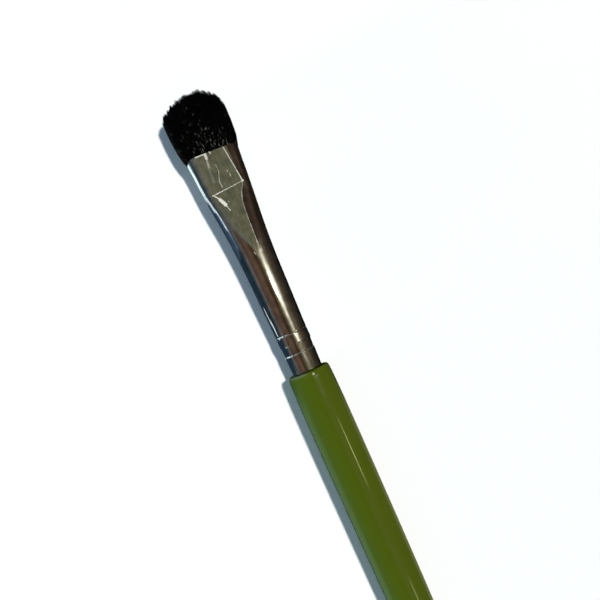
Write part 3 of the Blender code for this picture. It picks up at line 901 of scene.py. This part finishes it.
def grown_mesh(carrier, tree):
    """The plain mesh that a node tree makes on its carrier, which is then removed."""
    modifier = carrier.modifiers.new("growth", "NODES")
    modifier.node_group = tree
    sizes = dict(TUFT_INPUTS, Seed=TUFT_SEED)
    for socket in tree.interface.items_tree:
        if socket.in_out == "INPUT" and socket.name in sizes:
            modifier[socket.identifier] = sizes[socket.name]
    bpy.context.view_layer.update()
    evaluated = carrier.evaluated_get(bpy.context.evaluated_depsgraph_get())
    mesh = bpy.data.meshes.new_from_object(evaluated)
    carrier.modifiers.remove(modifier)
    bpy.data.objects.remove(carrier)
    return mesh


def fibre_tuft():
    """The fibres and the slice of set root that holds them."""
    material = black_fibre()
    carrier = new_object("fibre_roots", root_face())
    mesh = grown_mesh(carrier, tuft_tree(material))
    work = bmesh.new()
    work.from_mesh(mesh)
    rings = []
    for depth in ROOT_BLOCK_DEPTHS:
        outline = section_outline(bore_section(depth, FIT_GAP), ROOT_BLOCK_POINTS)
        rings.append([brush_point(depth, side, up) for side, up, _ in outline])
    skin(work, rings, closed_start=True, closed_end=True)
    work.to_mesh(mesh)
    work.free()
    mesh.name = "fibre_tuft"
    return new_object("fibre_tuft", mesh)


# Handle


def handle_profile():
    """(distance behind the shoulder, radius) from the tenon's front to the tail's end."""
    profile = [
        (-TENON_LENGTH, TENON_RADIUS - TENON_CHAMFER),
        (-TENON_LENGTH + TENON_CHAMFER, TENON_RADIUS),
        (-TENON_CORNER, TENON_RADIUS),
        (0.0, TENON_RADIUS + TENON_CORNER),
    ]
    for share in shares(SHOULDER_STEPS):
        profile.append((0.0, mixed(TENON_RADIUS, SHOULDER_RADIUS - SHOULDER_ROUNDING, share)))
    for share in shares(ROUNDING_STEPS):
        angle = share * math.pi / 2
        behind = SHOULDER_ROUNDING * (1.0 - math.cos(angle))
        profile.append((behind, SHOULDER_RADIUS - SHOULDER_ROUNDING * (1.0 - math.sin(angle))))
    for share in shares(SWELL_STEPS):
        behind = mixed(SHOULDER_ROUNDING, SHOULDER_TO_BELLY, share**SWELL_POWER)
        profile.append((behind, read_off(SWELL, behind / MM) * MM))
    tail_start = HANDLE_LENGTH - TAIL_ROUNDING
    for share in shares(TAPER_STEPS):
        radius = mixed(BELLY_RADIUS, TAIL_RADIUS, share**TAPER_POWER)
        profile.append((mixed(SHOULDER_TO_BELLY, tail_start, share), radius))
    for share in shares(TAIL_STEPS)[:-1]:
        angle = share * math.pi / 2
        profile.append((tail_start + TAIL_ROUNDING * math.sin(angle), TAIL_RADIUS * math.cos(angle)))
    return profile


def lacquered_handle():
    """The turned wooden handle with its tenon."""

    def build(work):
        rings = []
        for behind, radius in handle_profile():
            ring = []
            for step in range(HANDLE_SIDES):
                angle = step * math.tau / HANDLE_SIDES
                offset = (radius * math.cos(angle), radius * math.sin(angle))
                ring.append(brush_point(SHOULDER_DEPTH + behind, *offset))
            rings.append(ring)
        last = skin(work, rings, closed_start=True)[-1]
        tail = work.verts.new(brush_point(SHOULDER_DEPTH + HANDLE_LENGTH, 0.0, 0.0))
        for at in range(HANDLE_SIDES):
            work.faces.new((last[at], last[(at + 1) % HANDLE_SIDES], tail))

    piece = new_object("lacquered_handle", mesh_from("lacquered_handle", build))
    piece.data.set_sharp_from_angle(angle=SHARP_ANGLE)
    piece.data.materials.append(green_lacquer())
    return piece


# Stage: floor, the dark room that the plating mirrors, lamps and camera


def lit_only_in_reflections(thing):
    """Hides a stage piece from the camera and from the light that falls on things."""
    thing.visible_camera = False
    thing.visible_diffuse = False
    thing.visible_shadow = False
    thing.visible_transmission = False
    thing.visible_volume_scatter = False
    thing.visible_glossy = True


def pale_floor():
    """A matt white floor that keeps the brush's shadow."""

    def build(work):
        bmesh.ops.create_grid(work, x_segments=8, y_segments=8, size=FLOOR_REACH)

    material, wiring, shader, _ = finish_named("pale_floor")
    wiring.feed(shader, {
        "Base Color": (0.95, 0.95, 0.95),
        "Roughness": 0.9,
        "Specular IOR Level": 0.0,
        "Emission Color": WHITE,
        "Emission Strength": wiring.maths("MULTIPLY", wiring.seen_as_backdrop(), FLOOR_GLOW),
    })
    material.cycles.emission_sampling = "NONE"
    floor = new_object("pale_floor", mesh_from("pale_floor", build))
    floor.data.materials.append(material)
    floor.location = (0.0, 0.0, -FLOOR_GAP)
    return floor


# (roll in degrees, colour) round the room, beyond each end of the brush
ROOM_BEYOND_TUFT = (
    (-180, (0.01, 0.01, 0.01)),
    (-125, (0.02, 0.05, 0.09)),
    (-95, (0.05, 0.08, 0.13)),
    (-72, (0.035, 0.05, 0.05)),
    (-58, (0.095, 0.11, 0.105)),
    (-35, (0.12, 0.13, 0.115)),
    (-5, (0.16, 0.165, 0.14)),
    (19, (0.15, 0.15, 0.10)),
    (33, (0.045, 0.03, 0.02)),
    (68, (0.065, 0.045, 0.035)),
    (98, (0.02, 0.015, 0.01)),
    (180, (0.01, 0.01, 0.01)),
)
ROOM_BEYOND_HANDLE = (
    (-180, (0.01, 0.01, 0.01)),
    (-122, (0.025, 0.045, 0.08)),
    (-88, (0.015, 0.035, 0.055)),
    (-66, (0.13, 0.12, 0.12)),
    (-50, (0.09, 0.06, 0.05)),
    (-26, (0.13, 0.08, 0.055)),
    (-4, (0.055, 0.035, 0.02)),
    (24, (0.26, 0.23, 0.16)),
    (54, (0.13, 0.105, 0.075)),
    (76, (0.058, 0.044, 0.031)),
    (104, (0.026, 0.023, 0.018)),
    (128, (0.006, 0.006, 0.005)),
    (180, (0.01, 0.01, 0.01)),
)


def room_finish():
    """Dim colours round the brush, by their roll from the camera's zenith, for each end of the room."""
    material, wiring, glow, place = glow_named("room_colours")
    x, side, up = wiring.split(place)
    up = wiring.maths("SUBTRACT", up, AXIS_HEIGHT)
    roll = wiring.maths("ADD", wiring.maths("ARCTAN2", side, up), CAMERA_ROLL)
    share = wiring.between(roll, -math.pi, math.pi)
    walls = []
    for bands in (ROOM_BEYOND_TUFT, ROOM_BEYOND_HANDLE):
        walls.append(wiring.ramp(share, [((degrees + 180) / 360, colour) for degrees, colour in bands]))
    out = wiring.vector_maths("LENGTH", wiring.joined(0.0, side, up))
    lean = wiring.maths("DIVIDE", wiring.maths("SUBTRACT", x, MOUTH_X + ROOM_MIDDLE_DEPTH), out)
    towards_handle = wiring.between(lean, *ROOM_ENDS_MEET, 0.0, 1.0, "SMOOTHSTEP")
    wiring.feed(glow, {"Color": wiring.blended(towards_handle, *walls)})
    wiring.surface(glow.outputs[0])
    material.cycles.emission_sampling = "NONE"
    return material


def dark_room():
    """A long tunnel round the brush, open to lamps and camera, whose colours only reflections show."""

    def build(work):
        rings = []
        for x in (-ROOM_HALF_LENGTH, ROOM_HALF_LENGTH):
            ring = [Vector((x, side, ROOM_FLOOR_GAP)) for side in (-ROOM_REACH, ROOM_REACH)]
            for share in shares(ROOM_SIDES)[:-1]:
                angle = share * math.pi
                ring.append(Vector((x, ROOM_REACH * math.cos(angle), ROOM_REACH * math.sin(angle))))
            rings.append(ring)
        skin(work, rings, closed_start=True, closed_end=True)

    room = new_object("dark_room", mesh_from("dark_room", build))
    room.data.materials.append(room_finish())
    lit_only_in_reflections(room)
    return room


def soft_glow(name, colour, strength, falloff):
    """Light that fades out from the middle of a card to its edge, and hides nothing behind it."""
    material, wiring, glow, place = glow_named(name)
    x, y, _ = wiring.split(place)
    out = wiring.maths("ADD", wiring.maths("MULTIPLY", x, x), wiring.maths("MULTIPLY", y, y))
    soft = wiring.maths("EXPONENT", wiring.maths("MULTIPLY", out, -falloff))
    rim = wiring.maths("MAXIMUM", wiring.maths("ABSOLUTE", x), wiring.maths("ABSOLUTE", y))
    edge = wiring.between(rim, *CARD_RIM, 1.0, 0.0, "SMOOTHSTEP")
    power = wiring.maths("MULTIPLY", wiring.maths("MULTIPLY", soft, edge), strength)
    wiring.feed(glow, {"Color": colour, "Strength": power})
    clear = wiring.fed("ShaderNodeBsdfTransparent", {})
    wiring.surface(wiring.fed("ShaderNodeAddShader", {0: glow.outputs[0], 1: clear}))
    return material


def unit_card(name, material):
    """A square of one metre, which only reflections show."""

    def build(work):
        bmesh.ops.create_grid(work, x_segments=2, y_segments=2, size=0.5)

    card = new_object(name, mesh_from(name, build))
    card.data.materials.append(material)
    lit_only_in_reflections(card)
    return card


def hung_card(
    name, roll, lean, around, along, colour, strength, falloff, depth=CARD_DEPTH, distance=CARD_DISTANCE
):
    """A glowing card set by angles in degrees, over a depth and at a distance in millimetres."""
    card = unit_card(name, soft_glow(name, colour, strength, falloff))
    direction = rolled_direction(roll, lean)
    sideways = direction.cross(Vector((1.0, 0.0, 0.0))).normalized()
    lengthwise = sideways.cross(direction)
    axes = Matrix((lengthwise, sideways, lengthwise.cross(sideways))).transposed().to_4x4()
    extents = [2 * distance * MM * math.tan(math.radians(angle) / 2) for angle in (along, around)]
    centre = brush_point(depth * MM, 0.0, 0.0) + direction * distance * MM
    card.matrix_world = Matrix.Translation(centre) @ axes @ Matrix.Diagonal((*extents, 1.0, 1.0))
    return card


def laid_card(name, depths, sides, colour, strength, falloff=2.0):
    """A pale sheet on the floor beside the brush, between two depths and two sides in millimetres."""
    card = unit_card(name, soft_glow(name, colour, strength, falloff))
    centre = Vector((MOUTH_X + sum(depths) / 2 * MM, sum(sides) / 2 * MM, CARD_FLOOR_GAP))
    extents = ((depths[1] - depths[0]) * MM, (sides[1] - sides[0]) * MM, 1.0, 1.0)
    card.matrix_world = Matrix.Translation(centre) @ Matrix.Diagonal(extents)
    return card


def sun(name, roll, lean, strength, colour, angle):
    """A far lamp that reflections leave out, with its place and its width in degrees."""
    lamp = bpy.data.lights.new(name, "SUN")
    lamp.energy = strength
    lamp.color = colour
    lamp.angle = math.radians(angle)
    thing = new_object(name, lamp)
    thing.rotation_mode = "QUATERNION"
    thing.rotation_quaternion = rolled_direction(roll, lean).to_track_quat("Z", "Y")
    thing.visible_glossy = False


def pale_world():
    """White to the camera and to mirrors and glass, and a dim cool fill for everything else."""
    world = bpy.data.worlds.new("pale_surroundings")
    bpy.context.scene.world = world
    world.use_nodes = True
    wiring = Wiring(world.node_tree)
    seen = wiring.seen_as_backdrop()
    wiring.feed(world.node_tree.nodes["Background"], {
        "Color": wiring.blended(seen, COOL_FILL, WHITE),
        "Strength": wiring.between(seen, 0.0, 1.0, FILL_STRENGTH, 1.0),
    })


def camera():
    """The camera, turned so that the brush crosses the picture as it does in the photograph."""
    data = bpy.data.cameras.new("camera")
    data.sensor_width = SENSOR_WIDTH
    data.lens = SENSOR_WIDTH * CAMERA_DISTANCE / (PICTURE_SIDE * PICTURE_PIXEL)
    data.clip_start = CLIP_START
    data.clip_end = CLIP_END
    thing = new_object("camera", data)
    back = Vector((0.0, -math.sin(CAMERA_ROLL), math.cos(CAMERA_ROLL)))
    across = Vector((0.0, math.cos(CAMERA_ROLL), math.sin(CAMERA_ROLL)))
    lengthwise = Vector((1.0, 0.0, 0.0))
    right = lengthwise * math.sin(PICTURE_TURN) + across * math.cos(PICTURE_TURN)
    top = across * math.sin(PICTURE_TURN) - lengthwise * math.cos(PICTURE_TURN)
    place = brush_point(AIM_DEPTH, 0.0, 0.0) + across * AIM_SIDE + back * CAMERA_DISTANCE
    turn = Matrix((right, top, back)).transposed().to_4x4()
    thing.matrix_world = Matrix.Translation(place) @ turn
    bpy.context.scene.camera = thing


def light_up():
    """Hangs the two suns, and gives back the cards that the plating and the lacquer mirror."""
    sun("key_sun", 25.0, -7.0, 2.98, (1.0, 0.97, 0.92), 5.0)
    sun("window_sun", -76.0, 5.0, 2.5, (0.42, 0.76, 1.0), 8.0)
    return [
        # Roll, lean, extents round and along, colour, strength, falloff
        hung_card("lamp_card", 31.2, 0.9, 40.0, 7.8, WARM, 1.15, 7.0),
        hung_card("lamp_tail_card", 28.0, 4.0, 28.0, 9.0, WARM, 0.6, 7.0),
        hung_card("tube_card", 30.0, 1.5, 18.0, 18.0, WARM, 0.30, 8.0),
        hung_card("bulb_card", 28.8, 1.6, 16.0, 4.2, (1.0, 0.97, 0.80), 1.1, 10.0),
        hung_card("collar_card", 25.0, 9.5, 20.0, 3.0, WARM, 0.44, 8.0),
        hung_card("spot_card", 21.0, 0.0, 15.0, 4.0, (1.0, 0.98, 0.74), 15.0, 8.0, 27.6, 92.0),
        hung_card("far_tube_card", 42.0, 18.7, 6.0, 9.0, (1.0, 1.0, 0.45), 8.0, 6.0),
        hung_card("last_tube_card", 42.0, 37.5, 7.0, 10.0, (1.0, 1.0, 0.50), 6.0, 6.0),
        # Depths, sides, colour, strength, falloff
        laid_card("pale_sheet", (-12.0, 8.0), (-14.5, -5.0), (0.76, 0.95, 1.0), 1.6),
        laid_card("far_sheet", (-38.0, -0.5), (-26.0, -12.5), (0.74, 0.94, 1.0), 0.85, 0.5),
        laid_card("pale_bend", (5.6, 9.6), (-23.0, -8.0), (0.78, 0.93, 1.0), 1.1),
        laid_card("pale_step", (6.8, 13.6), (-36.0, -13.5), (0.78, 0.90, 1.0), 1.55),
        laid_card("blue_sheet", (6.0, 18.0), (-75.0, -13.0), (0.36, 0.58, 1.0), 0.22),
        laid_card("pale_sliver", (28.6, 32.6), (-10.4, -8.2), (0.86, 0.95, 1.0), 1.3),
        laid_card("pale_sliver_end", (31.4, 35.2), (-14.5, -9.8), (0.86, 0.95, 1.0), 1.3),
        laid_card("left_of_handle", (43.0, 133.0), (-58.0, -4.5), (0.68, 1.0, 0.70), 0.5, 0.5),
        laid_card("right_of_handle", (44.0, 170.0), (4.5, 22.0), (1.0, 0.95, 0.50), 0.35, 0.5),
    ]


def paint_hidden_pieces():
    """Finishes the two pieces inside, which keep the shapes they have in the frame."""
    for name, material in (("root_resin_plug", amber_resin()), ("tenon_glue_cup", white_glue())):
        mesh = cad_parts[name].data
        mesh.materials.clear()
        mesh.materials.append(material)


def main():
    for piece, node, slot in (
        (ferrule_skin(), "ferrule", "bright_plating"),
        (fibre_tuft(), "bristle_tuft", "black_fibre"),
        (lacquered_handle(), "handle", "green_lacquer"),
    ):
        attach(piece, "root")
        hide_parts(node)
    paint_hidden_pieces()
    pale_floor()
    dark_room()
    for card in light_up():
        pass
    pale_world()
    camera()
    bpy.context.scene.view_settings.view_transform = "Standard"


main()
